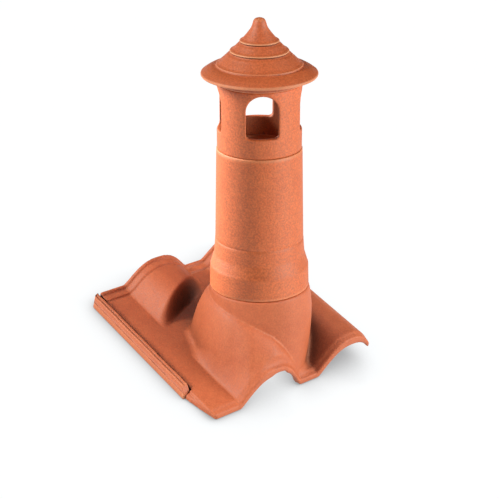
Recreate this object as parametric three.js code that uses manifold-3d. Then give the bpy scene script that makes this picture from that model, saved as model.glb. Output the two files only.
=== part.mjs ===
// A terracotta roof tile with a leaning chimney pot: base tile, shaft, lantern and cap.
// Millimetres, +Z up. The tile lies flat, x runs across it and y runs up the slope.
import * as THREE from 'three';
import { mergeVertices } from 'three/addons/utils/BufferGeometryUtils.js';
import Module from 'manifold-3d';

const wasm = await Module();
wasm.setup();

// Base tile, outline
const tileLength = 384;
const leftEdgeToFirstRoll = 159;
const rollSpacing = 201;
const lastRollToRightEdge = 56;
const tileWidth = leftEdgeToFirstRoll + rollSpacing + lastRollToRightEdge;
const panThickness = 18;

// Base tile, rolls: the top and the hollow beneath have their own widths either side of the crest
const crestHeightFront = 80;
const crestHeightBack = 66;
const archHeightFront = 57;
const archHeightBack = 48;
const crestShift = -6;
const topLeftHalfWidth = 76;
const topRightHalfWidth = 84;
const archLeftHalfWidth = 74;
const archRightHalfWidth = 80;
const rollRoundness = 2.6;
const rollFootSweep = 1.4;

// Base tile, front rim, back rib and interlocking left edge
const rimDepth = 14;
const rimDrop = 4;
const backRibWidth = 25;
const backRibRise = 3.5;
const backRibSlope = 4;
const backLipWidth = 10;
const backLipRise = 4;
const sideRibWidth = 7;
const sideRibHeight = 26;
const sideRibCrown = 2.5;
const sideRibSeam = 1.4;
const sideRibSeamDepth = 3.5;
const sideGrooveWidth = 4;
const sideGrooveFloor = 9;
const sideGrooveBackStop = 26;
const cornerCutLength = 75;
const cornerCutWidth = 13;
const cornerLedgeHeight = 10;
const cornerLedgeWidth = 9;
const cornerLedgeStart = 32;
const cornerRound = 16;

// Drainage valley that cuts the first roll behind the neck
const humpFrontAtCrest = 304;
const humpFrontSkew = 0.42;
const humpSlopeLength = 32;
const frontRollEnd = 170;
const frontRollFade = 60;

// Leaning axis of the neck and of everything that stands on it
const leanDegrees = 18;
const axisFromFront = 97;
const axisFromMiddle = 3;

// Neck, part of the base tile. Its own outline on the floor is round, and wider at the back.
const shoulderHeight = 167;
const neckTopRadius = 95;
const neckFootLeft = 98;
const neckFootRight = 92;
const neckFootFront = 91;
const neckFootBack = 126;
const neckBulge = 10;
const neckBulgeRise = 0.7;
const neckSweep = 1.3;
const neckSweepTurn = 0.7;
const neckWall = 15;
const neckSteps = [0, 0.1, 0.2, 0.3, 0.38, 0.48, 0.6, 0.72, 0.86, 1];
const neckHollowSteps = [0, 0.15, 0.3, 0.5, 0.75, 1];
const spigotHeight = 34;

// Apron, the swelling on the neck's left: for each turn in degrees from +X towards +Y, the share of the
// way down at which it leaves the neck, and how far from the axis it meets the floor
const apronStations = [
  [60, 1, 126],
  [90, 0.3, 126],
  [110, 0.14, 135],
  [132, 0.12, 148],
  [147, 0.12, 134],
  [165, 0.14, 128],
  [180, 0.16, 127],
  [204, 0.21, 135],
  [222, 0.27, 159],
  [244, 0.37, 162],
  [255, 0.47, 154],
  [263, 0.56, 128],
  [280, 0.8, 105],
  [295, 1, 95],
];
const apronSwell = 0.58;
const creaseStep = 0.3;
const lowestCrease = 0.6;

// Pipe fits
const flueRadius = 68.5;
const wall = 12;
const seatGap = 0.3;
const spigotClearance = 1;

// Shaft
const shaftFootRadius = 95.5;
const collarTopRadius = 94.5;
const collarHeight = 44;
const shoulderRun = 24;
const shoulderTopRadius = 86.5;
const turningLineHeight = 99;
const turningLineRadius = 84.3;
const shaftTopRadius = 80.8;
const shaftHeight = 277.7;
const socketDepth = 40;

// Lantern
const lanternRadius = 79.5;
const lanternHeight = 126;
const windowCount = 4;
const windowTurnDegrees = 37;
const windowWidth = 60;
const windowHeight = 81;
const windowSill = 38;
const windowCornerRound = 8;

// Cap
const capSkirtRadius = 81;
const capSkirtHeight = 10;
const brimRadius = 108.5;
const brimEdgeHeight = 16;
const brimEdgeRound = 3;
const brimEdgeInset = 1.5;
const brimShoulderRadius = 93.5;
const brimShoulderHeight = 29;
const coneFootRadius = 78.5;
const coneFootHeight = 34;
const coneRimHeight = 2.5;
const coneRimInset = 1;
const coneSweep = 1.2;
const coneSteps = [45];
const coneTopSteps = [89, 97];
const ringHeights = [57, 75.5];
const ringWidth = 3;
const ringDepth = 2;
const knobRadius = 14;
const knobHeight = 104;
const knobWaistInset = 3;
const capHeight = 120;
const tipRadius = 4;
const tipRound = 1;
const capCrownHeight = 92;
const capSlopeStart = 22;

// How far one solid runs into another that it is joined to, and how far a cutting solid overshoots
const overlap = 1;
const beyond = 20;

// Facets
const windowArcSteps = 8;
const cornerArcSteps = 6;
const turns = 36;
const tileColumns = 36;
const tileRows = 18;

const lean = THREE.MathUtils.degToRad(leanDegrees);
const leftEdge = -tileWidth / 2;
const frontEdge = -tileLength / 2;
const firstRoll = leftEdge + leftEdgeToFirstRoll;
const rollCentres = [firstRoll, firstRoll + rollSpacing];
const axisX = axisFromMiddle;
const axisY = frontEdge + axisFromFront;
const interlockWidth = 2 * sideRibWidth + sideRibSeam + sideGrooveWidth;

function terracotta(hex) {
  return new THREE.MeshStandardMaterial({ color: hex, roughness: 0.85, metalness: 0 });
}

function smoothstep(t) {
  const c = Math.min(1, Math.max(0, t));
  return c * c * (3 - 2 * c);
}

// Turns a closed geometry into a solid, with its faces pointing out
function solidOf(geometry) {
  geometry.deleteAttribute('normal');
  geometry.deleteAttribute('uv');
  const merged = mergeVertices(geometry, 1e-4);
  const position = merged.getAttribute('position');
  const corners = [];
  let volume = 0;
  const [a, b, c] = [new THREE.Vector3(), new THREE.Vector3(), new THREE.Vector3()];
  for (let i = 0; i < merged.index.count; i += 3) {
    const [p, q, r] = [0, 1, 2].map((k) => merged.index.getX(i + k));
    if (p === q || q === r || r === p) continue;
    corners.push(p, q, r);
    a.fromBufferAttribute(position, p);
    b.fromBufferAttribute(position, q);
    c.fromBufferAttribute(position, r);
    volume += a.dot(b.cross(c));
  }
  if (volume < 0) corners.reverse();
  const mesh = new wasm.Mesh({
    numProp: 3,
    vertProperties: new Float32Array(position.array),
    triVerts: new Uint32Array(corners),
  });
  return new wasm.Manifold(mesh);
}

function meshOf(name, solid, material) {
  const data = solid.getMesh();
  const geometry = new THREE.BufferGeometry();
  geometry.setAttribute('position', new THREE.BufferAttribute(new Float32Array(data.vertProperties), 3));
  geometry.setIndex(new THREE.BufferAttribute(new Uint32Array(data.triVerts), 1));
  geometry.computeVertexNormals();
  const mesh = new THREE.Mesh(geometry, material);
  mesh.name = name;
  return mesh;
}

// A solid of revolution about z, from [radius, height] pairs
function turned(profile) {
  const points = profile.map(([radius, height]) => new THREE.Vector2(radius, height));
  return new THREE.LatheGeometry(points, turns).rotateX(Math.PI / 2);
}

// An outline in x and z, extruded along y from one place to another
function extrudedAlongY(outline, from, to) {
  const shape = new THREE.Shape(outline.map(([x, z]) => new THREE.Vector2(x, z)));
  const geometry = new THREE.ExtrudeGeometry(shape, { depth: to - from, bevelEnabled: false });
  return geometry.rotateX(Math.PI / 2).translate(0, to, 0);
}

// An outline in x and y, extruded up z from one height to another
function extrudedUp(outline, from, to) {
  const shape = new THREE.Shape(outline.map(([x, y]) => new THREE.Vector2(x, y)));
  const geometry = new THREE.ExtrudeGeometry(shape, { depth: to - from, bevelEnabled: false });
  return geometry.translate(0, 0, from);
}

// Places a solid made about the leaning axis into the tile's frame
function onLeaningAxis(geometry) {
  return geometry.rotateX(-lean).translate(axisX, axisY, 0);
}

// A roll's cross-section from 1 at the crest to 0 at the foot, u being the share of the half width
function rollShape(u) {
  return u >= 1 ? 0 : Math.pow(1 - Math.pow(u, rollRoundness), rollFootSweep);
}

function rollAt(x, centre, leftHalf, rightHalf) {
  const offset = x - centre;
  return rollShape(Math.abs(offset) / (offset < 0 ? leftHalf : rightHalf));
}

// How much of the first roll stands at a place: all in front and behind, none in the valley
function firstRollShare(x, y) {
  const fromFront = y - frontEdge;
  const humpFront = humpFrontAtCrest + humpFrontSkew * (x - firstRoll);
  const hump = smoothstep(1 - (humpFront - fromFront) / humpSlopeLength);
  const front = smoothstep((frontRollEnd - fromFront) / frontRollFade);
  return Math.max(hump, front);
}

function rollShare(index, x, y) {
  return index === 0 ? firstRollShare(x, y) : 1;
}

function alongSlope(front, back, y) {
  return front + (back - front) * (y - frontEdge) / tileLength;
}

function tileTop(x, y) {
  let height = panThickness;
  const rise = alongSlope(crestHeightFront, crestHeightBack, y) - panThickness;
  rollCentres.forEach((centre, i) => {
    const roll = rollAt(x, centre + crestShift, topLeftHalfWidth, topRightHalfWidth);
    height += rise * roll * rollShare(i, x, y);
  });
  const intoRim = 1 - (y - frontEdge) / rimDepth;
  height -= rimDrop * Math.max(0, intoRim);
  const fromBack = frontEdge + tileLength - y;
  height += backRibRise * smoothstep((backRibWidth - fromBack) / backRibSlope);
  height += backLipRise * smoothstep((backLipWidth - fromBack) / backLipWidth);
  return height;
}

function tileUnderside(x, y) {
  let height = 0;
  const rise = alongSlope(archHeightFront, archHeightBack, y);
  rollCentres.forEach((centre, i) => {
    height += rise * rollAt(x, centre, archLeftHalfWidth, archRightHalfWidth) * rollShare(i, x, y);
  });
  return height;
}

function evenly(from, to, count) {
  return Array.from({ length: count + 1 }, (_, i) => from + (to - from) * i / count);
}

// A body between two heights over a grid of places, closed round the edge
function gridBody(xs, ys, topAt, underAt) {
  const positions = [];
  const corners = [];
  for (const heightAt of [topAt, underAt]) {
    for (const y of ys) {
      for (const x of xs) positions.push(x, y, heightAt(x, y));
    }
  }
  const layer = xs.length * ys.length;
  const top = (i, j) => j * xs.length + i;
  const under = (i, j) => layer + top(i, j);
  const quad = (a, b, c, d) => corners.push(a, b, c, a, c, d);
  for (let j = 0; j + 1 < ys.length; j += 1) {
    for (let i = 0; i + 1 < xs.length; i += 1) {
      quad(top(i, j), top(i + 1, j), top(i + 1, j + 1), top(i, j + 1));
      quad(under(i, j), under(i, j + 1), under(i + 1, j + 1), under(i + 1, j));
    }
  }
  const lastX = xs.length - 1;
  const lastY = ys.length - 1;
  for (let i = 0; i < lastX; i += 1) {
    quad(under(i, 0), under(i + 1, 0), top(i + 1, 0), top(i, 0));
    quad(under(i + 1, lastY), under(i, lastY), top(i, lastY), top(i + 1, lastY));
  }
  for (let j = 0; j < lastY; j += 1) {
    quad(under(0, j + 1), under(0, j), top(0, j), top(0, j + 1));
    quad(under(lastX, j), under(lastX, j + 1), top(lastX, j + 1), top(lastX, j));
  }
  const geometry = new THREE.BufferGeometry();
  geometry.setAttribute('position', new THREE.Float32BufferAttribute(positions, 3));
  geometry.setIndex(corners);
  return solidOf(geometry);
}

function tileBody() {
  const xs = evenly(leftEdge + interlockWidth, leftEdge + tileWidth, tileColumns);
  const back = frontEdge + tileLength;
  const ribFoot = back - backRibWidth;
  const lip = evenly(back - backLipWidth, back, 2);
  const ys = [frontEdge, ...evenly(frontEdge + rimDepth, ribFoot, tileRows), ribFoot + backRibSlope, ...lip];
  return gridBody(xs, ys, tileTop, tileUnderside);
}

// The space under the rolls near the neck, which the neck's side wall doesn't reach down into
function spaceUnderRolls() {
  const reach = Math.max(...apronStations.map((station) => station[2]));
  const xs = evenly(axisX - reach, axisX + reach, Math.round(tileColumns / 2));
  const ys = evenly(frontEdge - 2 * rimDepth, axisY + reach, Math.round(tileRows / 2));
  return gridBody(xs, ys, tileUnderside, () => -2 * wall);
}

// What the neck leaves clear: the space in front of the tile, and the air over its front rim
function spaceOverRim() {
  const reach = Math.max(...apronStations.map((station) => station[2]));
  const xs = evenly(leftEdge - beyond, axisX + reach, tileColumns);
  const rim = [frontEdge - overlap, frontEdge, frontEdge + rimDepth];
  const over = gridBody(xs, rim, () => shoulderHeight, tileTop);
  const ahead = gridBody(xs, [axisY - 2 * reach, frontEdge], () => shoulderHeight, () => -2 * wall);
  return ahead.add(over);
}

// Two crowned ribs, the seam between them and the groove that parts them from the pan
function interlock() {
  const outline = [[0, 0], [0, sideRibHeight - sideRibCrown]];
  for (const start of [0, sideRibWidth + sideRibSeam]) {
    outline.push([start + sideRibCrown, sideRibHeight]);
    outline.push([start + sideRibWidth - sideRibCrown, sideRibHeight]);
    outline.push([start + sideRibWidth, sideRibHeight - sideRibCrown]);
    if (start === 0) {
      outline.push([start + sideRibWidth, sideRibHeight - sideRibSeamDepth]);
      outline.push([start + sideRibWidth + sideRibSeam, sideRibHeight - sideRibSeamDepth]);
      outline.push([start + sideRibWidth + sideRibSeam, sideRibHeight - sideRibCrown]);
    }
  }
  const ribsEnd = 2 * sideRibWidth + sideRibSeam;
  const panSide = interlockWidth + overlap;
  outline.push([ribsEnd, sideGrooveFloor], [panSide, sideGrooveFloor], [panSide, 0]);
  const placed = outline.map(([x, z]) => [leftEdge + x, z]);
  const backEdge = frontEdge + tileLength;
  const ribs = solidOf(extrudedAlongY(placed, frontEdge, backEdge));
  const ribSide = ribsEnd - overlap;
  const filling = [[ribSide, 0], [ribSide, panThickness], [panSide, panThickness], [panSide, 0]];
  const fillingPlaced = filling.map(([x, z]) => [leftEdge + x, z]);
  const frontFilling = solidOf(extrudedAlongY(fillingPlaced, frontEdge, frontEdge + cornerCutLength));
  const backFilling = solidOf(extrudedAlongY(fillingPlaced, backEdge - sideGrooveBackStop, backEdge));
  return ribs.add(frontFilling).add(backFilling);
}

// What is cut away at the front left corner, over a ledge that is left standing
function cornerCut() {
  const [outX, outY] = [leftEdge - beyond, frontEdge - beyond];
  const x = leftEdge + cornerCutWidth;
  const y = frontEdge + cornerCutLength;
  const upper = [[outX, outY], [x, outY], [x, y], [outX, y]];
  const lower = [
    [outX, outY],
    [x + cornerLedgeWidth, outY],
    [x + cornerLedgeWidth, frontEdge],
    [x, frontEdge + cornerLedgeStart],
    [x - cornerLedgeWidth, y],
    [outX, y],
  ];
  const above = solidOf(extrudedUp(upper, cornerLedgeHeight, sideRibHeight + beyond));
  return above.add(solidOf(extrudedUp(lower, -beyond, cornerLedgeHeight + overlap)));
}

// What is cut away to round the back left corner
function backCornerCut() {
  const [centreX, centreY] = [leftEdge + cornerRound, frontEdge + tileLength - cornerRound];
  const arc = evenly(Math.PI, Math.PI / 2, cornerArcSteps).map((angle) => [
    centreX + cornerRound * Math.cos(angle),
    centreY + cornerRound * Math.sin(angle),
  ]);
  const [outX, outY] = [leftEdge - beyond, centreY + cornerRound + beyond];
  const outline = [[outX, centreY], ...arc, [centreX, outY], [outX, outY]];
  return solidOf(extrudedUp(outline, -beyond, sideRibHeight + beyond));
}

// How far the neck's own foot reaches from the axis
function neckFoot(angle) {
  const across = Math.cos(angle);
  const along = Math.sin(angle);
  const acrossReach = across < 0 ? neckFootLeft : neckFootRight;
  const alongReach = along < 0 ? neckFootFront : neckFootBack;
  return 1 / Math.hypot(across / acrossReach, along / alongReach);
}

function neckRadius(angle, share) {
  const along = Math.sin(angle);
  const outward = Math.pow(share, neckSweep - neckSweepTurn * along);
  const bulge = (1 + Math.cos(angle)) / 2 * neckBulge * Math.sin(Math.PI * Math.pow(share, neckBulgeRise));
  return neckTopRadius + (neckFoot(angle) - neckTopRadius) * outward + bulge;
}

// The share at which the apron leaves the neck and its reach on the floor, eased between its stations
function apronAt(angle) {
  const degrees = THREE.MathUtils.euclideanModulo(THREE.MathUtils.radToDeg(angle), 360);
  const next = apronStations.findIndex((station) => station[0] > degrees);
  if (next < 1) return null;
  const [from, to] = [apronStations[next - 1], apronStations[next]];
  const t = (degrees - from[0]) / (to[0] - from[0]);
  return [1, 2].map((k) => from[k] + (to[k] - from[k]) * t);
}

function apronRadius(angle, share) {
  const apron = apronAt(angle);
  if (!apron || share <= apron[0]) return 0;
  const start = neckRadius(angle, apron[0]);
  return start + (apron[1] - start) * Math.pow((share - apron[0]) / (1 - apron[0]), apronSwell);
}

// The share of the way down that a step stands for, spaced so that one step falls on the apron's crease
function shareOfStep(angle, step) {
  const apron = apronAt(angle);
  const crease = Math.min(apron ? apron[0] : lowestCrease, lowestCrease);
  if (step <= creaseStep) return crease * step / creaseStep;
  return crease + (1 - crease) * (step - creaseStep) / (1 - creaseStep);
}

// A point of the neck's side, share being 0 at its round shoulder and 1 at its foot on the floor
function neckPoint(angle, share, inset, topHeight) {
  const radius = Math.max(neckRadius(angle, share), apronRadius(angle, share)) - inset;
  const [x, y] = [radius * Math.cos(angle), radius * Math.sin(angle)];
  const top = new THREE.Vector3(x, y, topHeight);
  top.applyAxisAngle(new THREE.Vector3(1, 0, 0), -lean);
  const foot = new THREE.Vector3(x, y, 0);
  return top.lerp(foot, share).add(new THREE.Vector3(axisX, axisY, 0));
}

// The neck's body, or the hollow inside it where an inset is given
function neckBody(steps, inset, topHeight, dip) {
  const positions = [];
  const corners = [];
  for (const step of steps) {
    for (let i = 0; i < turns; i += 1) {
      const angle = 2 * Math.PI * i / turns;
      const point = neckPoint(angle, shareOfStep(angle, step), inset, topHeight);
      positions.push(point.x, point.y, step === 1 ? -dip : point.z);
    }
  }
  const high = steps.length * turns;
  const low = high + 1;
  const lastRing = high - turns;
  const top = new THREE.Vector3(0, 0, topHeight).applyAxisAngle(new THREE.Vector3(1, 0, 0), -lean);
  positions.push(top.x + axisX, top.y + axisY, top.z, axisX, axisY, -dip);
  for (let i = 0; i < turns; i += 1) {
    const next = (i + 1) % turns;
    corners.push(high, i, next, low, lastRing + next, lastRing + i);
    for (let k = 0; k + 1 < steps.length; k += 1) {
      const [a, b] = [k * turns + i, k * turns + next];
      corners.push(a, b + turns, b, a, a + turns, b + turns);
    }
  }
  const geometry = new THREE.BufferGeometry();
  geometry.setAttribute('position', new THREE.Float32BufferAttribute(positions, 3));
  geometry.setIndex(corners);
  return solidOf(geometry);
}

function baseTile() {
  const slab = tileBody().add(interlock()).subtract(cornerCut()).subtract(backCornerCut());
  const neck = neckBody(neckSteps, 0, shoulderHeight, 0).subtract(spaceUnderRolls()).subtract(spaceOverRim());
  const spigotRadius = shaftFootRadius - wall - spigotClearance;
  const spigot = solidOf(onLeaningAxis(turned([
    [0, shoulderHeight - wall],
    [spigotRadius, shoulderHeight - wall],
    [spigotRadius, shoulderHeight + spigotHeight],
    [0, shoulderHeight + spigotHeight],
  ])));
  const hollow = neckBody(neckHollowSteps, neckWall, shoulderHeight - 2 * wall, wall);
  const flue = solidOf(onLeaningAxis(turned([
    [0, 0],
    [flueRadius, 0],
    [flueRadius, shoulderHeight + spigotHeight + wall],
    [0, shoulderHeight + spigotHeight + wall],
  ])));
  const insideTile = hollow.subtract(spaceOverRim());
  return slab.add(neck).add(spigot).subtract(insideTile).subtract(flue);
}

function shaft() {
  const outside = [
    [shaftFootRadius, 0],
    [collarTopRadius, collarHeight],
    [shoulderTopRadius, collarHeight + shoulderRun],
    [turningLineRadius, turningLineHeight],
    [shaftTopRadius, shaftHeight],
  ];
  const socketRadius = shaftFootRadius - wall;
  const inside = [
    [shaftTopRadius - wall, shaftHeight],
    [turningLineRadius - wall, turningLineHeight],
    [socketRadius, socketDepth],
    [socketRadius, 0],
  ];
  return solidOf(turned([...outside, ...inside, outside[0]]));
}

// A window's outline: round head, flat sill and rounded lower corners
function windowOutline() {
  const half = windowWidth / 2;
  const springing = windowHeight - half;
  const shape = new THREE.Shape();
  shape.moveTo(-half + windowCornerRound, 0);
  shape.lineTo(half - windowCornerRound, 0);
  shape.absarc(half - windowCornerRound, windowCornerRound, windowCornerRound, -Math.PI / 2, 0, false);
  shape.lineTo(half, springing);
  shape.absarc(0, springing, half, 0, Math.PI, false);
  shape.lineTo(-half, windowCornerRound);
  const lowerLeft = -half + windowCornerRound;
  shape.absarc(lowerLeft, windowCornerRound, windowCornerRound, Math.PI, 1.5 * Math.PI, false);
  return shape;
}

function lantern() {
  const inner = lanternRadius - wall;
  let tube = solidOf(turned([
    [lanternRadius, 0],
    [lanternRadius, lanternHeight],
    [inner, lanternHeight],
    [inner, 0],
    [lanternRadius, 0],
  ]));
  for (let i = 0; i < windowCount; i += 1) {
    const reach = { depth: lanternRadius + wall, bevelEnabled: false, curveSegments: windowArcSteps };
    const opening = new THREE.ExtrudeGeometry(windowOutline(), reach).rotateX(Math.PI / 2);
    opening.translate(0, 0, windowSill);
    opening.rotateZ(-THREE.MathUtils.degToRad(windowTurnDegrees) + 2 * Math.PI * i / windowCount);
    tube = tube.subtract(solidOf(opening));
  }
  return tube;
}

// The cone's radius at a height, sweeping out towards its foot
function coneRadius(height) {
  const share = (knobHeight - height) / (knobHeight - coneFootHeight);
  return knobRadius + (coneFootRadius - knobRadius) * Math.pow(share, coneSweep);
}

function cap() {
  const skirtInside = lanternRadius - wall;
  const profile = [
    [capSkirtRadius, 0],
    [capSkirtRadius, capSkirtHeight],
    [brimRadius - brimEdgeInset, brimEdgeHeight - brimEdgeRound],
    [brimRadius, brimEdgeHeight],
    [brimRadius - brimEdgeInset, brimEdgeHeight + brimEdgeRound],
    [brimShoulderRadius, brimShoulderHeight],
    [coneFootRadius + coneRimInset, coneFootHeight - coneRimHeight],
    [coneFootRadius, coneFootHeight],
  ];
  for (const height of coneSteps) profile.push([coneRadius(height), height]);
  for (const height of ringHeights) {
    profile.push([coneRadius(height - ringWidth), height - ringWidth]);
    profile.push([coneRadius(height) - ringDepth, height]);
    profile.push([coneRadius(height + ringWidth), height + ringWidth]);
  }
  for (const height of coneTopSteps) profile.push([coneRadius(height), height]);
  profile.push([knobRadius, knobHeight]);
  profile.push([knobRadius - knobWaistInset, (knobHeight + capHeight) / 2]);
  profile.push([tipRadius, capHeight - tipRound], [0, capHeight]);
  profile.push([0, capCrownHeight], [skirtInside, capSlopeStart], [skirtInside, 0]);
  profile.push(profile[0]);
  return solidOf(turned(profile));
}

const pot = new THREE.Group();
pot.add(meshOf('base_tile', baseTile(), terracotta(0xc4683f)));

const stack = new THREE.Group();
stack.position.set(axisX, axisY, 0);
stack.rotation.x = -lean;
pot.add(stack);

const shaftMesh = meshOf('shaft', shaft(), terracotta(0xc96d45));
shaftMesh.position.z = shoulderHeight + seatGap;
stack.add(shaftMesh);

const lanternMesh = meshOf('lantern', lantern(), terracotta(0xc46842));
lanternMesh.position.z = shaftMesh.position.z + shaftHeight + seatGap;
stack.add(lanternMesh);

const capMesh = meshOf('cap', cap(), terracotta(0xc06440));
capMesh.position.z = lanternMesh.position.z + lanternHeight + seatGap;
stack.add(capMesh);

export default pot;
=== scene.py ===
# %% [markdown]
# # A chimney pot in terracotta
#
# The object is a roof tile with a leaning pipe cast onto it. A shaft, a lantern with four windows and a
# conical cap stand on that pipe. All of it is red clay: the tile was pressed in a mould, and the three pieces
# above it were turned and then fired. This lesson builds the four pieces as meshes, gives them a fired clay
# material, and lights them as a small studio would. Shapes are written in millimetres and made in metres, in
# the frame of the solid model.

# %% Load the solid model
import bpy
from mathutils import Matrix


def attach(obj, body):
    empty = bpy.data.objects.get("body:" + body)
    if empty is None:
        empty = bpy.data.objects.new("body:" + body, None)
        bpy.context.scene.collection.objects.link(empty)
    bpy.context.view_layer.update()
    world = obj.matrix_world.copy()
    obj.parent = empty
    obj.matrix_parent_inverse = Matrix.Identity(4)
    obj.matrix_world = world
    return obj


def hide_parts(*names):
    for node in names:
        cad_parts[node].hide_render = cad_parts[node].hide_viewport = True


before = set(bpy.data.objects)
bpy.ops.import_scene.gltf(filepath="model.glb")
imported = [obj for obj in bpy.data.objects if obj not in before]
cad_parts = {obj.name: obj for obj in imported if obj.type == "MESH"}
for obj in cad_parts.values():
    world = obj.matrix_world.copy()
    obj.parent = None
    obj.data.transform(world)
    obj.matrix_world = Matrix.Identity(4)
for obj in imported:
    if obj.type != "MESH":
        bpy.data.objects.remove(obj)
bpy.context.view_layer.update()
print("nodes:", sorted(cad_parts))

# %% Bring in Blender's own modules
import math
import bpy
import bmesh
import numpy as np
import openvdb
from mathutils import Matrix, Vector

MM = 0.001
TOUCHING = 1e-6

# %% [markdown]
# ## The camera
#
# The photograph was taken with a long lens from the front left, looking down about 35 degrees. The camera was
# turned a little about its own line of sight, so that the leaning pipe stands upright in the picture. A long
# lens keeps parallel edges nearly parallel, which is why the place is nearly three metres away.

# %% Place the camera
PICTURE_SIDE = 499
FOCAL_PIXELS = 1500
SENSOR_WIDTH = 36.0
camera_right = Vector((0.7553, -0.6238, 0.2009))
camera_up = Vector((0.2529, 0.5603, 0.7887))
camera_back = Vector((-0.6046, -0.5449, 0.5810))
camera_place = Vector((-1.7558, -1.5826, 1.8976))

camera_data = bpy.data.cameras.new("studio_camera")
camera_data.sensor_width = SENSOR_WIDTH
camera_data.lens = SENSOR_WIDTH * FOCAL_PIXELS / PICTURE_SIDE
camera = bpy.data.objects.new("studio_camera", camera_data)
bpy.context.scene.collection.objects.link(camera)
turn = Matrix((camera_right, camera_up, camera_back)).transposed().to_4x4()
camera.matrix_world = Matrix.Translation(camera_place) @ turn
bpy.context.scene.camera = camera
print("lens", round(camera_data.lens, 1), "mm")

# %% [markdown]
# ## Fields of distance
#
# Pressed clay has no sharp edges: every meeting of two forms is a soft fillet. A field of distances makes
# such fillets easily. Each form is a function that is negative inside it, and a soft minimum of two functions
# joins them with a fillet. The field is sampled on a grid and its zero surface becomes the mesh.

# %% Soft joins and cuts
def soft_join(a, b, fillet):
    near = np.maximum(fillet - np.abs(a - b), 0) / fillet
    return np.minimum(a, b) - near * near * fillet / 4


def soft_meet(a, b, fillet):
    return -soft_join(-a, -b, fillet)


def smooth_step(t):
    c = np.clip(t, 0, 1)
    return c * c * (3 - 2 * c)


print("a fillet of 4 mm lowers the join by", float(-soft_join(np.array(0.0), np.array(0.0), 4)), "mm")

# %% From a field to a mesh
BAND_STEPS = 3


def mesh_from_field(name, field, low_corner, step):
    """The zero surface of a field on a grid in millimetres, as a mesh in metres with four-sided faces."""
    band = BAND_STEPS * step
    grid = openvdb.FloatGrid(background=float(band))
    grid.copyFromArray(np.clip(field, -band, band).astype(np.float32))
    points, quads = grid.convertToQuads(isovalue=0.0)
    points = (points * step + np.array(low_corner)) * MM
    mesh = bpy.data.meshes.new(name)
    mesh.from_pydata(points.tolist(), [], quads[:, ::-1].tolist())
    mesh.validate()
    mesh.shade_smooth()
    print(name, len(points), "points and", 2 * len(quads), "triangles")
    return mesh


def grid_axes(low, high, step):
    return [np.arange(a, b + step, step, dtype=np.float32) for a, b in zip(low, high)]


def add_piece(name, mesh, node):
    """A finished mesh as a piece that stands for a node of the solid model."""
    piece = bpy.data.objects.new(name, mesh)
    bpy.context.scene.collection.objects.link(piece)
    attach(piece, "root")
    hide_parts(node)
    return piece


print("ready to sample fields")

# %% [markdown]
# ## The roof tile
#
# The tile is a wide double tile. A flat pan, a roll, a second pan and a second roll lie side by side, and
# the left edge has two ribs that lock into the next tile. The first roll is cut by a valley behind the pipe,
# which lets rain run off to the left. The sizes are those of the solid model, in millimetres, but the front
# rim has a small arris here and the back rim is a little crisper.

# %% Sizes of the tile
TILE_LENGTH = 384
LEFT_EDGE_TO_FIRST_ROLL = 159
ROLL_SPACING = 201
LAST_ROLL_TO_RIGHT_EDGE = 56
TILE_WIDTH = LEFT_EDGE_TO_FIRST_ROLL + ROLL_SPACING + LAST_ROLL_TO_RIGHT_EDGE
PAN_THICKNESS = 18
CREST_FRONT, CREST_BACK = 80, 66
ARCH_FRONT, ARCH_BACK = 57, 48
CREST_SHIFT = -6
TOP_LEFT_HALF, TOP_RIGHT_HALF = 76, 84
ARCH_LEFT_HALF, ARCH_RIGHT_HALF = 74, 80
ROLL_ROUNDNESS, ROLL_FOOT_SWEEP = 2.6, 1.4
RIM_DEPTH, RIM_DROP = 14, 4
RIM_ARRIS, RIM_ARRIS_WIDTH = 1.2, 3
BACK_RIB_WIDTH, BACK_RIB_RISE, BACK_RIB_SLOPE = 25, 3.5, 3
BACK_LIP_WIDTH, BACK_LIP_RISE = 10, 4.5
HUMP_FRONT_AT_CREST, HUMP_FRONT_SKEW, HUMP_SLOPE_LENGTH = 304, 0.42, 32
FRONT_ROLL_END, FRONT_ROLL_FADE = 170, 60
LEFT_EDGE, FRONT_EDGE = -TILE_WIDTH / 2, -TILE_LENGTH / 2
RIGHT_EDGE, BACK_EDGE = TILE_WIDTH / 2, TILE_LENGTH / 2
ROLL_CENTRES = (LEFT_EDGE + LEFT_EDGE_TO_FIRST_ROLL, LEFT_EDGE + LEFT_EDGE_TO_FIRST_ROLL + ROLL_SPACING)
print("tile", TILE_WIDTH, "by", TILE_LENGTH, "mm")

# %% Heights of the tile's top and underside
def roll_shape(x, centre, left_half, right_half):
    offset = x - centre
    share = np.minimum(np.abs(offset) / np.where(offset < 0, left_half, right_half), 1)
    return (1 - share ** ROLL_ROUNDNESS) ** ROLL_FOOT_SWEEP


def first_roll_share(x, y):
    from_front = y - FRONT_EDGE
    hump_front = HUMP_FRONT_AT_CREST + HUMP_FRONT_SKEW * (x - ROLL_CENTRES[0])
    hump = smooth_step(1 - (hump_front - from_front) / HUMP_SLOPE_LENGTH)
    front = smooth_step((FRONT_ROLL_END - from_front) / FRONT_ROLL_FADE)
    return np.maximum(hump, front)


def along_slope(front, back, y):
    return front + (back - front) * (y - FRONT_EDGE) / TILE_LENGTH


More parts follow.
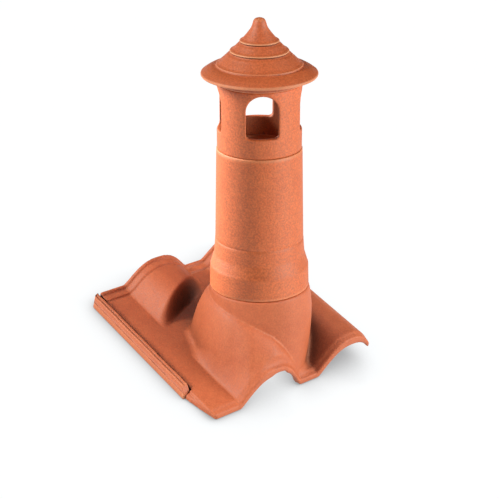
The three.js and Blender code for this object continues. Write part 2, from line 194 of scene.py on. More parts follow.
def tile_top(x, y):
    rise = along_slope(CREST_FRONT, CREST_BACK, y) - PAN_THICKNESS
    first, second = [roll_shape(x, c + CREST_SHIFT, TOP_LEFT_HALF, TOP_RIGHT_HALF) for c in ROLL_CENTRES]
    height = PAN_THICKNESS + rise * (first * first_roll_share(x, y) + second)
    height -= RIM_DROP * np.maximum(0, 1 - (y - FRONT_EDGE) / RIM_DEPTH)
    height -= RIM_ARRIS * smooth_step((RIM_DEPTH - (y - FRONT_EDGE)) / RIM_ARRIS_WIDTH)
    from_back = BACK_EDGE - y
    height += BACK_RIB_RISE * smooth_step((BACK_RIB_WIDTH - from_back) / BACK_RIB_SLOPE)
    return height + BACK_LIP_RISE * smooth_step((BACK_LIP_WIDTH - from_back) / BACK_RIB_SLOPE)


def tile_underside(x, y):
    rise = along_slope(ARCH_FRONT, ARCH_BACK, y)
    first, second = [roll_shape(x, c, ARCH_LEFT_HALF, ARCH_RIGHT_HALF) for c in ROLL_CENTRES]
    return rise * (first * first_roll_share(x, y) + second)


front_crest = tile_top(np.array(ROLL_CENTRES[0] + CREST_SHIFT), np.array(FRONT_EDGE))
print("crest at the front edge:", round(float(front_crest), 1), "mm")

# %% [markdown]
# ## The neck and its apron
#
# The neck is a round, leaning tube. On its left it grows an apron: a soft swelling that carries the first
# roll up against the tube and sheds water into the pan. Where the apron leaves the tube there is a crease
# that a thumb has smoothed. Both are lofts from a ring on the leaning shoulder to an outline on the floor.
# The apron is given at stations round the tube, and taking the larger of its reach and the tube's keeps the
# crease.

# %% Sizes of the neck
LEAN = math.radians(18)
AXIS_X, AXIS_Y = 3, FRONT_EDGE + 97
SHOULDER_HEIGHT = 167
NECK_TOP_RADIUS = 95
SHAFT_FOOT_RADIUS = 95.5
WALL = 12
FLUE_RADIUS = 68.5
SPIGOT_HEIGHT, SPIGOT_CLEARANCE = 34, 1
NECK_WALL = 15
FOOT_LEFT, FOOT_RIGHT, FOOT_FRONT, FOOT_BACK = 98, 92, 91, 126
NECK_BULGE, NECK_BULGE_RISE = 10, 0.7
NECK_SWEEP, NECK_SWEEP_TURN = 1.3, 0.7

# Turn in degrees, the share of the way down at which the apron leaves the tube, and its reach on the floor
APRON = np.array([(60, 1, 126), (90, 0.3, 126), (110, 0.14, 135), (132, 0.12, 148), (147, 0.12, 134),
                  (165, 0.14, 128), (180, 0.16, 127), (204, 0.21, 135), (222, 0.27, 159), (244, 0.37, 162),
                  (255, 0.47, 154), (263, 0.56, 128), (280, 0.8, 105), (295, 1, 95)])
APRON_SWELL = 0.58
SHORTEST_APRON = 0.01
print("the axis leans", round(math.degrees(LEAN)), "degrees up the slope")

# %% The neck's reach and its field
LOFT_ROUNDS = 8
LOWEST_RING, HIGHEST_RING = -0.05, 1.1
SLANT_FACTOR = 0.9
NECK_TOP_FILLET, NECK_HOLLOW_FILLET = 4, 6


def loft_place(x, y, z, top_height):
    """Turn, share from shoulder (0) to floor (1) and reach from the axis of each place.

    A place's ring of the loft depends on how far along the ring it lies, so both are found in a few rounds.
    """
    across, along = x - AXIS_X, y - AXIS_Y
    ring_along = along.copy()
    for _ in range(LOFT_ROUNDS):
        ring_height = top_height * math.cos(LEAN) - ring_along * math.sin(LEAN)
        up = np.clip(z / ring_height, LOWEST_RING, HIGHEST_RING)
        ring_along = (along - up * top_height * math.sin(LEAN)) / (1 - up * (1 - math.cos(LEAN)))
    return np.arctan2(ring_along, across), np.clip(1 - up, 0, 1), np.hypot(across, ring_along)


def foot_reach(turn):
    across, along = np.cos(turn), np.sin(turn)
    across_reach = np.where(across < 0, FOOT_LEFT, FOOT_RIGHT)
    along_reach = np.where(along < 0, FOOT_FRONT, FOOT_BACK)
    return 1 / np.hypot(across / across_reach, along / along_reach)


def tube_reach(turn, share):
    outward = share ** (NECK_SWEEP - NECK_SWEEP_TURN * np.sin(turn))
    bulge = (1 + np.cos(turn)) / 2 * NECK_BULGE * np.sin(math.pi * share ** NECK_BULGE_RISE)
    return NECK_TOP_RADIUS + (foot_reach(turn) - NECK_TOP_RADIUS) * outward + bulge


def neck_reach(turn, share):
    degrees = np.degrees(turn) % 360
    crease = np.interp(degrees, APRON[:, 0], APRON[:, 1])
    floor_reach = np.interp(degrees, APRON[:, 0], APRON[:, 2])
    start = tube_reach(turn, crease)
    below_crease = np.maximum(share - crease, 0) / np.maximum(1 - crease, SHORTEST_APRON)
    apron = start + (floor_reach - start) * below_crease ** APRON_SWELL
    return np.maximum(tube_reach(turn, share), np.where(below_crease > 0, apron, 0))


def above_ring(y, z, height):
    return (y - AXIS_Y) * math.sin(LEAN) + z * math.cos(LEAN) - height


def from_axis(x, y, z):
    along = (y - AXIS_Y) * math.cos(LEAN) - z * math.sin(LEAN)
    return np.hypot(x - AXIS_X, along)


def neck_field(x, y, z):
    """The neck's body. Its side slants, so the way to it is a little shorter than the reach says."""
    turn, share, reach = loft_place(x, y, z, SHOULDER_HEIGHT)
    side = SLANT_FACTOR * (reach - neck_reach(turn, share))
    return soft_meet(side, above_ring(y, z, SHOULDER_HEIGHT), NECK_TOP_FILLET)


def hollow_field(x, y, z):
    turn, share, reach = loft_place(x, y, z, SHOULDER_HEIGHT)
    side = SLANT_FACTOR * (reach - neck_reach(turn, share) + NECK_WALL)
    return soft_meet(side, above_ring(y, z, SHOULDER_HEIGHT - 2 * WALL), NECK_HOLLOW_FILLET)


print("the foot reaches", round(float(foot_reach(np.array(math.pi))), 1), "mm to the left")

# %% Sample the tile with its neck
FIELD_STEP, FIELD_MARGIN, FIELD_TOP = 2.7, 6, 222
EDGE_FILLET, FOOT_FILLET, SPIGOT_FILLET, FLUE_FILLET = 2.5, 12, 3, 8
INTERLOCK_WIDTH, SLAB_SETBACK = 19.4, 0.5
CORNER_CUT_LENGTH, CORNER_CUT_WIDTH = 75, 13
LEDGE_START, LEDGE_HEIGHT = 32, 10
LEDGE_EDGES = (22, 13, 4)
LEDGE_LIP, LEDGE_SLOPE = 2, 3


def steepness(heights, step):
    along_x, along_y = np.gradient(heights, step)
    return 1 / np.sqrt(1 + along_x ** 2 + along_y ** 2)


def base_tile_field(step):
    low = (LEFT_EDGE - FIELD_MARGIN, FRONT_EDGE - FIELD_MARGIN, -FIELD_MARGIN)
    high = (RIGHT_EDGE + FIELD_MARGIN, BACK_EDGE + FIELD_MARGIN, FIELD_TOP)
    xs, ys, zs = grid_axes(low, high, step)
    flat_x, flat_y = np.meshgrid(xs, ys, indexing="ij")
    top, under = tile_top(flat_x, flat_y), tile_underside(flat_x, flat_y)
    x, y, z = np.meshgrid(xs, ys, zs, indexing="ij")
    over_top = (z - top[:, :, None]) * steepness(top, step)[:, :, None]
    below = (under[:, :, None] - z) * steepness(under, step)[:, :, None]
    ends = np.maximum(FRONT_EDGE - y, y - BACK_EDGE)
    from_front = y - FRONT_EDGE
    ledge_edge = np.interp(from_front, (0, LEDGE_START, CORNER_CUT_LENGTH), LEDGE_EDGES)
    on_ledge = smooth_step((LEDGE_HEIGHT + LEDGE_LIP - z) / LEDGE_SLOPE)
    corner_edge = CORNER_CUT_WIDTH + (ledge_edge - CORNER_CUT_WIDTH) * on_ledge
    left_side = np.where(from_front < CORNER_CUT_LENGTH, corner_edge, INTERLOCK_WIDTH + SLAB_SETBACK)
    sides = np.maximum(LEFT_EDGE + left_side - x, x - RIGHT_EDGE)
    slab = soft_meet(soft_meet(over_top, ends, EDGE_FILLET), sides, EDGE_FILLET)
    slab = soft_meet(slab, below, EDGE_FILLET)
    over_rim = FRONT_EDGE + RIM_DEPTH - y
    neck = soft_meet(soft_meet(neck_field(x, y, z), below, EDGE_FILLET), over_rim, EDGE_FILLET)
    body = np.maximum(soft_join(slab, neck, FOOT_FILLET), ends)
    tube = from_axis(x, y, z)
    spigot_side = tube - (SHAFT_FOOT_RADIUS - WALL - SPIGOT_CLEARANCE)
    spigot = soft_meet(spigot_side, above_ring(y, z, SHOULDER_HEIGHT + SPIGOT_HEIGHT), SPIGOT_FILLET)
    spigot = np.maximum(spigot, -above_ring(y, z, SHOULDER_HEIGHT - WALL))
    body = np.minimum(body, spigot)
    inside = soft_join(hollow_field(x, y, z), tube - FLUE_RADIUS, FLUE_FILLET)
    body = soft_meet(body, -inside, EDGE_FILLET)
    return np.maximum(body, -z), low


field, low_corner = base_tile_field(FIELD_STEP)
tile_mesh = mesh_from_field("base_tile_clay", field, low_corner, FIELD_STEP)

# %% [markdown]
# ## The interlocking ribs
#
# Two narrow ribs with rounded crowns run up the left edge, with a thin seam between them, and a deep groove
# parts them from the pan. A small step runs along the outer face. They are too fine for the field's grid, so
# they are one section swept along the edge. At the back corner the section is pushed in to follow the rounded
# corner of the tile, and at the front it slopes down to the ledge where the next tile starts.

# %% Section of the ribs, from the outside in
RIB_WIDTH, RIB_HEIGHT, SEAM_WIDTH, SEAM_DEPTH = 7, 26, 1.4, 1.6
RIB_CROWN, CROWN_POINTS = 2.6, 7
GROOVE_FLOOR = 9
OUTER_STEP_HEIGHT, OUTER_STEP_WIDTH = 13, 2
RIB_OVERLAP = 4


def rib_crown(start, end):
    turns = np.linspace(math.pi, 0, CROWN_POINTS)
    middle, half = (start + end) / 2, (end - start) / 2
    return [(middle + half * math.cos(t), RIB_HEIGHT - RIB_CROWN + RIB_CROWN * math.sin(t)) for t in turns]


second_rib = RIB_WIDTH + SEAM_WIDTH
pan_side = INTERLOCK_WIDTH + RIB_OVERLAP
section = [(2, 0), (0.6, 0.6), (0, 2), (0, OUTER_STEP_HEIGHT - 1), (0.5, OUTER_STEP_HEIGHT)]
section += [(OUTER_STEP_WIDTH, OUTER_STEP_HEIGHT + 0.6)] + rib_crown(OUTER_STEP_WIDTH, RIB_WIDTH)
section += [(RIB_WIDTH + 0.1, RIB_HEIGHT - SEAM_DEPTH), (second_rib - 0.1, RIB_HEIGHT - SEAM_DEPTH)]
section += rib_crown(second_rib, second_rib + RIB_WIDTH) + [(second_rib + RIB_WIDTH, GROOVE_FLOOR + 1)]
section += [(second_rib + RIB_WIDTH + 1, GROOVE_FLOOR), (pan_side, GROOVE_FLOOR), (pan_side, 0)]
print("rib section of", len(section), "points")

# %% Sweep the ribs along the left edge
CORNER_ROUND = 16
RIB_END_SLOPE = 1.1
STRAIGHT_STATIONS, CORNER_STATIONS, FIRST_CORNER_TURN = 90, 12, 0.1
LONG_WAVE, LONG_WAVE_RUN = 0.35, 17
SHORT_WAVE, SHORT_WAVE_RUN = 0.25, 6.3
WAVE_DROP = 0.6
WAVY_FROM = GROOVE_FLOOR + 4
KEPT_APART = 0.01
SIDE_FACE_CORNERS = 4


def rib_wave(y):
    """How far the crowns rise and fall, in millimetres. WAVE_DROP keeps them no higher than the solid's."""
    return LONG_WAVE * math.sin(y / LONG_WAVE_RUN) + SHORT_WAVE * math.sin(y / SHORT_WAVE_RUN + 1)


def rib_stations():
    straight = np.linspace(FRONT_EDGE + CORNER_CUT_LENGTH, BACK_EDGE - CORNER_ROUND, STRAIGHT_STATIONS)
    corner_turns = np.linspace(FIRST_CORNER_TURN, math.pi / 2, CORNER_STATIONS)
    return np.concatenate([straight, BACK_EDGE - CORNER_ROUND * (1 - np.sin(corner_turns))])


def swept_ribs(mesh_maker):
    stations = rib_stations()
    rings = []
    for y in stations:
        into_corner = max(0.0, y - (BACK_EDGE - CORNER_ROUND))
        corner_x = CORNER_ROUND - math.sqrt(max(CORNER_ROUND ** 2 - into_corner ** 2, 0.0))
        ring = []
        for x, z in section:
            height = z + rib_wave(y) - WAVE_DROP if z > WAVY_FROM else z
            height = min(height, LEDGE_HEIGHT + RIB_END_SLOPE * (y - stations[0]) + KEPT_APART * z)
            ring.append(mesh_maker.verts.new(Vector((LEFT_EDGE + max(x, corner_x), y, height)) * MM))
        rings.append(ring)
    for a, b in zip(rings, rings[1:]):
        for k in range(len(section)):
            n = (k + 1) % len(section)
            mesh_maker.faces.new((a[k], b[k], b[n], a[n]))
    mesh_maker.faces.new(rings[0])
    mesh_maker.faces.new(list(reversed(rings[-1])))


def add_ribs(mesh):
    maker = bmesh.new()
    swept_ribs(maker)
    bmesh.ops.remove_doubles(maker, verts=maker.verts, dist=TOUCHING)
    bmesh.ops.recalc_face_normals(maker, faces=maker.faces)
    for face in maker.faces:
        face.smooth = len(face.verts) <= SIDE_FACE_CORNERS
    maker.from_mesh(mesh)
    maker.to_mesh(mesh)
    maker.free()
    mesh.update()
    return mesh


base_tile = add_piece("base_tile_clay", add_ribs(tile_mesh), "base_tile")
print("tile with ribs:", len(base_tile.data.polygons), "faces")

# %% [markdown]
# ## The turned pieces
#
# Shaft and cap were turned, so each is a half section spun about the leaning axis. Their sections carry the
# small roundings that a potter's sponge leaves on every rim, because those catch the light as thin bright
# lines.

# %% Spin a section about the leaning axis
SPIN_STEPS = 192


def axis_frame(height):
    place = Matrix.Translation(Vector((AXIS_X, AXIS_Y, 0)) * MM)
    return place @ Matrix.Rotation(-LEAN, 4, "X") @ Matrix.Translation((0, 0, height * MM))


def spun_ring(maker, radius, z):
    """One ring of points, or the same point all round where the section meets the axis."""
    if radius < TOUCHING:
        return [maker.verts.new((0, 0, z * MM))] * SPIN_STEPS
    turns = [2 * math.pi * k / SPIN_STEPS for k in range(SPIN_STEPS)]
    return [maker.verts.new(Vector((radius * math.cos(t), radius * math.sin(t), z)) * MM) for t in turns]


def spun(name, section_points, height):
    mesh = bpy.data.meshes.new(name)
    maker = bmesh.new()
    rings = [spun_ring(maker, radius, z) for radius, z in section_points]
    for a, b in zip(rings, rings[1:]):
        for k in range(SPIN_STEPS):
            n = (k + 1) % SPIN_STEPS
            corners = list(dict.fromkeys((a[k], a[n], b[n], b[k])))
            if len(corners) > 2:
                maker.faces.new(corners)
    maker.transform(axis_frame(height))
    bmesh.ops.recalc_face_normals(maker, faces=maker.faces)
    maker.to_mesh(mesh)
    maker.free()
    mesh.shade_smooth()
    print(name, len(mesh.polygons), "faces")
    return mesh


def between(a, b, count):
    """The points that cut the way from a to b into equal parts, without a and b."""
    return [(a[0] + (b[0] - a[0]) * k / count, a[1] + (b[1] - a[1]) * k / count) for k in range(1, count)]


print("the axis meets the floor at", (AXIS_X, AXIS_Y))

# %% The shaft
SEAT_GAP = 0.3
SHAFT_FOOT = SHOULDER_HEIGHT + SEAT_GAP
SHAFT_HEIGHT, SHAFT_TOP_RADIUS = 277.7, 80.8
SOCKET_RADIUS, SOCKET_DEPTH = SHAFT_FOOT_RADIUS - WALL, 40
BORE_TOP_RADIUS = SHAFT_TOP_RADIUS - WALL
collar_foot, collar_top = (SHAFT_FOOT_RADIUS, 3.0), (94.5, 44)
shoulder_top, shoulder_foot = (87.6, 65.5), (93.2, 46.8)
pipe_foot, turning_line = (86.4, 72), (84.5, 97.6)
above_line, pipe_top = (84.2, 100.2), (80.9, 275.5)
shaft_section = [(SOCKET_RADIUS, SOCKET_DEPTH), (SOCKET_RADIUS, 2), (85, 0.9)]
shaft_section += [(93.4, 0.9), (94.8, 1.5), collar_foot]
shaft_section += between(collar_foot, collar_top, 8) + [(94.5, 43), (94.1, 45), shoulder_foot]
shaft_section += between(shoulder_foot, shoulder_top, 5) + [(87, 67), (86.6, 69), pipe_foot]
shaft_section += between(pipe_foot, turning_line, 5) + [(84.6, 98), (83.6, 99), (84.3, 100.2)]
shaft_section += between(above_line, pipe_top, 30) + [(SHAFT_TOP_RADIUS, 276.2), (80, 277.4)]
shaft_section += [(78.5, SHAFT_HEIGHT), (70, SHAFT_HEIGHT), (BORE_TOP_RADIUS, 276.5), (BORE_TOP_RADIUS, 257)]
shaft_section += [(72.3, 99), (SOCKET_RADIUS, SOCKET_DEPTH)]
shaft = add_piece("shaft_clay", spun("shaft_clay", shaft_section, SHAFT_FOOT), "shaft")

# %% [markdown]
# ## The lantern
#
# The lantern is a plain tube whose four windows were cut while the clay was soft, with round heads and a flat
# sill. A field gives the cut edges their small rounding. It is sampled upright and then leant over.

# %% The lantern's field
LANTERN_FOOT = SHAFT_FOOT + SHAFT_HEIGHT + SEAT_GAP
LANTERN_RADIUS, LANTERN_HEIGHT = 79.5, 126
LANTERN_STEP, LANTERN_MARGIN = 1.5, 4
WINDOW_HALF, WINDOW_HEIGHT, WINDOW_SILL, WINDOW_CORNER = 30, 81, 38, 8
WINDOW_COUNT, FIRST_WINDOW_TURN = 4, -127
WINDOW_TURNS = [math.radians(FIRST_WINDOW_TURN + 360 / WINDOW_COUNT * k) for k in range(WINDOW_COUNT)]
WINDOW_FILLET = 3


def window_field(x, y, z, turn):
    across = np.abs(-x * math.sin(turn) + y * math.cos(turn))
    up = z - WINDOW_SILL
    springing = WINDOW_HEIGHT - WINDOW_HALF
    head = np.hypot(across, up - springing) - WINDOW_HALF
    from_side, from_sill = across - (WINDOW_HALF - WINDOW_CORNER), WINDOW_CORNER - up
    corner = np.hypot(np.maximum(from_side, 0), np.maximum(from_sill, 0))
    lower = corner + np.minimum(np.maximum(from_side, from_sill), 0) - WINDOW_CORNER
    opening = np.where(up > springing, head, lower)
    return np.maximum(opening, -(x * math.cos(turn) + y * math.sin(turn)))


def lantern_field(step):
    reach = LANTERN_RADIUS + LANTERN_MARGIN
    low, high = (-reach, -reach, -LANTERN_MARGIN), (reach, reach, LANTERN_HEIGHT + LANTERN_MARGIN)
    x, y, z = np.meshgrid(*grid_axes(low, high, step), indexing="ij")
    radius = np.hypot(x, y)
    tube = np.abs(radius - (LANTERN_RADIUS - WALL / 2)) - WALL / 2
    tube = soft_meet(tube, np.maximum(z - LANTERN_HEIGHT, -z), EDGE_FILLET)
    for turn in WINDOW_TURNS:
        tube = soft_meet(tube, -window_field(x, y, z, turn), WINDOW_FILLET)
    return tube, low


field, low_corner = lantern_field(LANTERN_STEP)
lantern_mesh = mesh_from_field("lantern_clay", field, low_corner, LANTERN_STEP)
lantern_mesh.transform(axis_frame(LANTERN_FOOT))
lantern = add_piece("lantern_clay", lantern_mesh, "lantern")

# %% [markdown]
# ## The cap
#
# The cap is a cone that sweeps out to a flat brim, with a blunt tip and two turned rings. Under the brim a
# short skirt sits on the lantern. Each ring is a small step with a groove beneath it.

# %% The cap's section
CAP_FOOT = LANTERN_FOOT + LANTERN_HEIGHT + SEAT_GAP
CAP_HOLLOW_RADIUS, CAP_HOLLOW_SLOPE_START, CAP_HOLLOW_TOP = LANTERN_RADIUS - WALL, 20, 92
CAP_SKIRT_RADIUS = 81
CONE_FOOT_RADIUS, CONE_FOOT_HEIGHT = 78.5, 34
KNOB_RADIUS, KNOB_HEIGHT = 14, 104
CONE_SWEEP = 1.2
LOWER_RING, UPPER_RING, RING_REACH = 57, 75.5, 4


def cone_radius(height):
    down = (KNOB_HEIGHT - height) / (KNOB_HEIGHT - CONE_FOOT_HEIGHT)
    return KNOB_RADIUS + (CONE_FOOT_RADIUS - KNOB_RADIUS) * down ** CONE_SWEEP


def cone_run(low, high, count):
    return [(cone_radius(h), h) for h in np.linspace(low, high, count)]


def ring_step(height):
    """A small step out of the cone with a groove under its lip."""
    r = cone_radius(height)
    return [(r + 0.9, height - 3), (r + 0.6, height - 1.6), (r - 1.6, height - 0.9), (r - 1.8, height),
            (r + 0.6, height + 0.4), (r + 0.9, height + 1.4), (r - 0.4, height + 3)]


hollow_foot = (CAP_HOLLOW_RADIUS, CAP_HOLLOW_SLOPE_START)
cap_section = [hollow_foot, (CAP_HOLLOW_RADIUS, 1), (68.5, 0), (79.6, 0), (80.8, 0.8)]
cap_section += [(CAP_SKIRT_RADIUS, 2), (CAP_SKIRT_RADIUS, 8.6), (81.8, 9.8), (83.5, 10.4)]
brim_edge = [(104.5, 12), (106.9, 13), (108.1, 14.6), (108.3, 16.4), (107.7, 18), (106.2, 19.2)]
brim_top = [(100, 23.6), (93, 27.6), (86, 30), (81, 30.8), (80.2, 31.2)]
cap_section += brim_edge + brim_top + [(80.4, 32.8), (79.8, 34.1), (78.6, 34.8)]
cap_section += cone_run(36, LOWER_RING - RING_REACH, 9) + ring_step(LOWER_RING)
cap_section += cone_run(LOWER_RING + RING_REACH, UPPER_RING - RING_REACH, 6) + ring_step(UPPER_RING)
cap_section += cone_run(UPPER_RING + RING_REACH, 101, 10)
cap_section += [(14.6, 103), (13.8, 105), (12.6, 109), (11.4, 113), (9.8, 116), (7.6, 117.6), (4.6, 118.7)]
cap_section += [(0, 119.2), (0, CAP_HOLLOW_TOP), hollow_foot]
cap = add_piece("cap_clay", spun("cap_clay", cap_section, CAP_FOOT), "cap")

# %% [markdown]
# ## Fired red clay
#
# Terracotta is a common earthenware clay, coloured by iron and fired without a glaze. It is matt, with an IOR
# of about 1.5 and a high roughness. Iron and lime are never mixed evenly, so the colour drifts in patches a
# few centimetres wide, and fine sand in the clay gives a grain of about one millimetre. That is too fine for
# this picture, so the grain is drawn coarser, at 3.4 millimetres. Sheltered hollows get painted shade: an
# ambient occlusion node finds them and darkens the colour there. Sharp edges get a pale painted highlight,
# and the pointiness of the mesh finds those. The wheel leaves fine lines on turned pieces.

# %% Colours and nodes
def linear(hex_code):
    """An sRGB hex colour as linear values with full alpha."""
    parts = [int(hex_code[k:k + 2], 16) / 255 for k in (1, 3, 5)]
    return tuple(p / 12.92 if p <= 0.04045 else ((p + 0.055) / 1.055) ** 2.4 for p in parts) + (1.0,)


def add_node(tree, kind, settings=None, inputs=None):
    """A node with its settings, and its inputs given as values or as another node's output."""
    node = tree.nodes.new(kind)
    for name, value in (settings or {}).items():
        setattr(node, name, value)
    for socket, value in (inputs or {}).items():
        if isinstance(value, bpy.types.NodeSocket):
            tree.links.new(value, node.inputs[socket])
        else:
            node.inputs[socket].default_value = value
    return node


print("terracotta in linear light:", [round(c, 3) for c in linear("#C4683F")])

# %% The fired clay material
PATCH_SIZE, MOTTLE_SIZE, GRAIN_SIZE = 0.080, 0.014, 0.0034
TURNING_SIZE, DENT_SIZE = 0.0065, 0.030
DENT_DEPTH, GRAIN_DEPTH = 0.0008, 0.0009
# how far the ambient occlusion looks for the hollows that get painted shade
PAINTED_SHADE_REACH = 0.150
# the pale colour of the painted highlight on sharp edges
PAINTED_HIGHLIGHT_CLAY = "#F0B080"


def fired_clay(name, body, pale, deep, painted_highlight_strength, sandy, turning=0.0, gloss=0.5):
    material = bpy.data.materials.new(name)
    material.use_nodes = True
    tree = material.node_tree
    tree.nodes.clear()
    place = add_node(tree, "ShaderNodeTexCoord").outputs["Object"]
    drift = add_node(tree, "ShaderNodeTexNoise", inputs={
        "Vector": place, "Scale": 1 / PATCH_SIZE, "Detail": 3.0, "Roughness": 0.55}).outputs["Fac"]
    patches = add_node(tree, "ShaderNodeMapRange", inputs={
        "Value": drift, "From Min": 0.35, "From Max": 0.68, "To Max": 0.7}).outputs["Result"]
    lime = add_node(tree, "ShaderNodeTexNoise", inputs={
        "Vector": place, "Scale": 1 / MOTTLE_SIZE, "Detail": 3.0, "Roughness": 0.55}).outputs["Fac"]
    mottle = add_node(tree, "ShaderNodeMapRange", inputs={
        "Value": lime, "From Min": 0.38, "From Max": 0.66, "To Max": 0.35}).outputs["Result"]
    grain = add_node(tree, "ShaderNodeTexNoise", inputs={
        "Vector": place, "Scale": 1 / GRAIN_SIZE, "Detail": 2.0, "Roughness": 0.6}).outputs["Fac"]
    colour = add_node(tree, "ShaderNodeMix", {"data_type": "RGBA"}, {
        0: patches, 6: linear(body), 7: linear(deep)}).outputs[2]
    colour = add_node(tree, "ShaderNodeMix", {"data_type": "RGBA"}, {
        0: mottle, 6: colour, 7: linear(pale)}).outputs[2]
    sand = add_node(tree, "ShaderNodeMapRange", inputs={
        "Value": grain, "From Min": 0.3, "From Max": 0.7,
        "To Min": 1 - sandy, "To Max": 1 + 0.8 * sandy}).outputs["Result"]
    colour = add_node(tree, "ShaderNodeMix", {"data_type": "RGBA", "blend_type": "MULTIPLY"}, {
        0: 1.0, 6: colour, 7: sand}).outputs[2]
    # painted shade: the colour is darkened in the hollows that ambient occlusion finds
    occlusion_for_painted_shade = add_node(tree, "ShaderNodeAmbientOcclusion", {"samples": 8, "only_local": True}, {
        "Distance": PAINTED_SHADE_REACH}).outputs["AO"]
    painted_shade = add_node(tree, "ShaderNodeMapRange", inputs={
        "Value": occlusion_for_painted_shade, "From Min": 0.3, "From Max": 0.8, "To Min": 0.05, "To Max": 1.0}).outputs["Result"]
    colour = add_node(tree, "ShaderNodeMix", {"data_type": "RGBA", "blend_type": "MULTIPLY"}, {
        0: 1.0, 6: colour, 7: painted_shade}).outputs[2]
    # painted highlight: sharp edges, found by pointiness, are mixed towards a pale colour
    edges = add_node(tree, "ShaderNodeNewGeometry").outputs["Pointiness"]
    painted_edge_highlight = add_node(tree, "ShaderNodeMapRange", inputs={
        "Value": edges, "From Min": 0.515, "From Max": 0.58, "To Max": painted_highlight_strength}).outputs["Result"]
    colour = add_node(tree, "ShaderNodeMix", {"data_type": "RGBA"}, {
        0: painted_edge_highlight, 6: colour, 7: linear(PAINTED_HIGHLIGHT_CLAY)}).outputs[2]
    dents = add_node(tree, "ShaderNodeTexNoise", inputs={
        "Vector": place, "Scale": 1 / DENT_SIZE, "Detail": 2.0, "Roughness": 0.55}).outputs["Fac"]
    relief = add_node(tree, "ShaderNodeBump", inputs={
        "Height": dents, "Distance": DENT_DEPTH, "Strength": 0.5}).outputs["Normal"]
    if turning:
        height = add_node(tree, "ShaderNodeVectorMath", {"operation": "DOT_PRODUCT"}, {
            0: place, 1: (0.0, math.sin(LEAN), math.cos(LEAN))}).outputs["Value"]
        lines = add_node(tree, "ShaderNodeTexNoise", {"noise_dimensions": "1D"}, {
            "W": height, "Scale": 1 / TURNING_SIZE, "Detail": 3.0, "Roughness": 0.7}).outputs["Fac"]
        relief = add_node(tree, "ShaderNodeBump", inputs={
            "Height": lines, "Distance": turning, "Strength": 0.6, "Normal": relief}).outputs["Normal"]
        streaks = add_node(tree, "ShaderNodeMapRange", inputs={
            "Value": lines, "From Min": 0.3, "From Max": 0.7,
            "To Min": 0.97, "To Max": 1.02}).outputs["Result"]
        colour = add_node(tree, "ShaderNodeMix", {"data_type": "RGBA", "blend_type": "MULTIPLY"}, {
            0: 1.0, 6: colour, 7: streaks}).outputs[2]
    relief = add_node(tree, "ShaderNodeBump", inputs={
        "Height": grain, "Distance": GRAIN_DEPTH, "Strength": 0.6, "Normal": relief}).outputs["Normal"]
    roughness = add_node(tree, "ShaderNodeMapRange", inputs={
        "Value": grain, "From Min": 0.3, "From Max": 0.7, "To Min": 0.52, "To Max": 0.66}).outputs["Result"]
    shader = add_node(tree, "ShaderNodeBsdfPrincipled", inputs={
        "Base Color": colour, "Roughness": roughness, "Specular IOR Level": gloss, "Normal": relief})
    add_node(tree, "ShaderNodeOutputMaterial", inputs={"Surface": shader.outputs["BSDF"]})
    print(name, "has", len(tree.nodes), "nodes")
    return material


def give_finish(piece, material):
    piece.data.materials.clear()
    piece.data.materials.append(material)


# each clay below is given the strength of its painted highlight on sharp edges
give_finish(base_tile, fired_clay("pressed_terracotta", "#BD623A", "#C76D41", "#B35A35",
                                  painted_highlight_strength=0.3, sandy=0.13))
turned_terracotta = fired_clay("turned_terracotta", "#CA6430", "#D2713B", "#C25E2C",
                               painted_highlight_strength=0.7, sandy=0.26, turning=0.0004, gloss=0.7)
give_finish(shaft, turned_terracotta)
give_finish(lantern, turned_terracotta)
give_finish(cap, fired_clay("turned_cap_terracotta", "#C66334", "#CE6F3E", "#BE5B30",
                            painted_highlight_strength=0.8, sandy=0.22, turning=0.0004, gloss=0.7))

# %% [markdown]
# ## Floor and light
#
# The object stands on a white light table: a sheet that glows, as photographers use for white backgrounds.
# Next to the tile the glow is dimmed by ambient occlusion: a painted contact shadow, a soft grey where the
# two nearly touch. A far lamp from behind on the left draws the bright edge of the pipe. A broader one from
# the front on the right lights its other side, and the dark band between them shows its roundness. The tile
# and the cap share lamps from nearly the same sides, and a soft lamp above fills the tile's pans. Each lamp
# is linked to what it lights.

# %% The floor
TABLE_HALF = 12.0
# how far from the tile the painted contact shadow reaches
PAINTED_SHADOW_REACH = 0.09


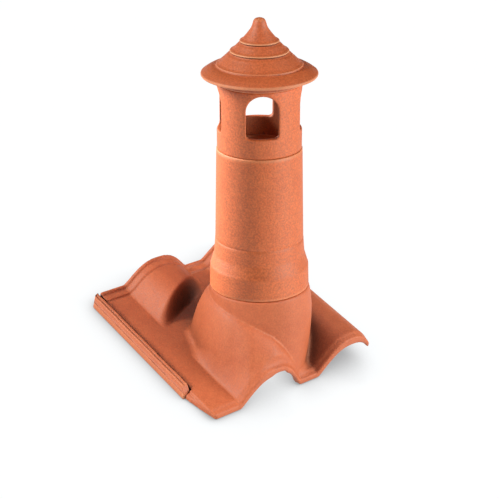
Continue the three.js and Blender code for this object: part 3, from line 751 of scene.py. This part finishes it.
def white_table():
    mesh = bpy.data.meshes.new("light_table")
    corners = [(x * TABLE_HALF, y * TABLE_HALF, 0) for x, y in ((-1, -1), (1, -1), (1, 1), (-1, 1))]
    mesh.from_pydata(corners, [], [(0, 1, 2, 3)])
    floor = bpy.data.objects.new("light_table", mesh)
    bpy.context.scene.collection.objects.link(floor)
    material = bpy.data.materials.new("glowing_white_acrylic")
    material.use_nodes = True
    tree = material.node_tree
    tree.nodes.clear()
    # painted shadow: the floor's glow is dimmed near the tile where ambient occlusion finds it
    occlusion_for_painted_shade = add_node(tree, "ShaderNodeAmbientOcclusion", {"samples": 16}, {
        "Distance": PAINTED_SHADOW_REACH}).outputs["AO"]
    glow_with_painted_shadow = add_node(tree, "ShaderNodeMapRange", inputs={
        "Value": occlusion_for_painted_shade, "From Min": 0.3, "From Max": 0.97,
        "To Min": 0.36, "To Max": 1.03}).outputs["Result"]
    shader = add_node(tree, "ShaderNodeBsdfPrincipled", inputs={
        "Base Color": linear("#505050"), "Roughness": 1.0, "Specular IOR Level": 0.0,
        "Emission Color": linear("#FCFEFF"), "Emission Strength": glow_with_painted_shadow})
    add_node(tree, "ShaderNodeOutputMaterial", inputs={"Surface": shader.outputs["BSDF"]})
    mesh.materials.append(material)


white_table()
print("floor laid")

# %% Lamps and surroundings
WARM_WHITE, COOL_WHITE = "#FFF8F0", "#F4F8FF"


def far_lamp(name, azimuth, elevation, spread_degrees, brightness, tint, lit_pieces):
    """A far lamp at an azimuth from +X and an elevation. A brightness of 1 lights white paper to white."""
    data = bpy.data.lights.new(name, "SUN")
    data.angle = math.radians(spread_degrees)
    data.energy = brightness * math.pi
    data.color = linear(tint)[:3]
    lamp = bpy.data.objects.new(name, data)
    a, e = math.radians(azimuth), math.radians(elevation)
    towards = Vector((math.cos(e) * math.cos(a), math.cos(e) * math.sin(a), math.sin(e)))
    lamp.rotation_euler = towards.to_track_quat("Z", "Y").to_euler()
    bpy.context.scene.collection.objects.link(lamp)
    lit = bpy.data.collections.new(name + "_lights")
    for piece in lit_pieces:
        lit.objects.link(piece)
    lamp.light_linking.receiver_collection = lit


# Name, azimuth, elevation and spread in degrees, brightness, tint, and the pieces that it lights
far_lamp("rim_lamp", 120, 13, 20, 2.4, WARM_WHITE, (shaft, lantern))
far_lamp("side_lamp", 149, 23, 12, 1.1, WARM_WHITE, (base_tile, cap))
far_lamp("front_lamp", 297, 27, 40, 1.18, WARM_WHITE, (shaft, lantern))
far_lamp("right_lamp", 306, 27, 40, 1.1, WARM_WHITE, (base_tile, cap))
far_lamp("ceiling_lamp", 0, 90, 120, 0.5, COOL_WHITE, (base_tile,))

world = bpy.data.worlds.new("white_studio")
world.use_nodes = True
world.node_tree.nodes.clear()
surround = add_node(world.node_tree, "ShaderNodeBackground", inputs={
    "Color": linear("#FFFFFF"), "Strength": 1.0})
add_node(world.node_tree, "ShaderNodeOutputWorld", inputs={"Surface": surround.outputs["Background"]})
world.cycles_visibility.diffuse = False
world.cycles_visibility.glossy = False
bpy.context.scene.world = world
bpy.context.scene.view_settings.view_transform = "Standard"
print("lit by five lamps over a glowing table")
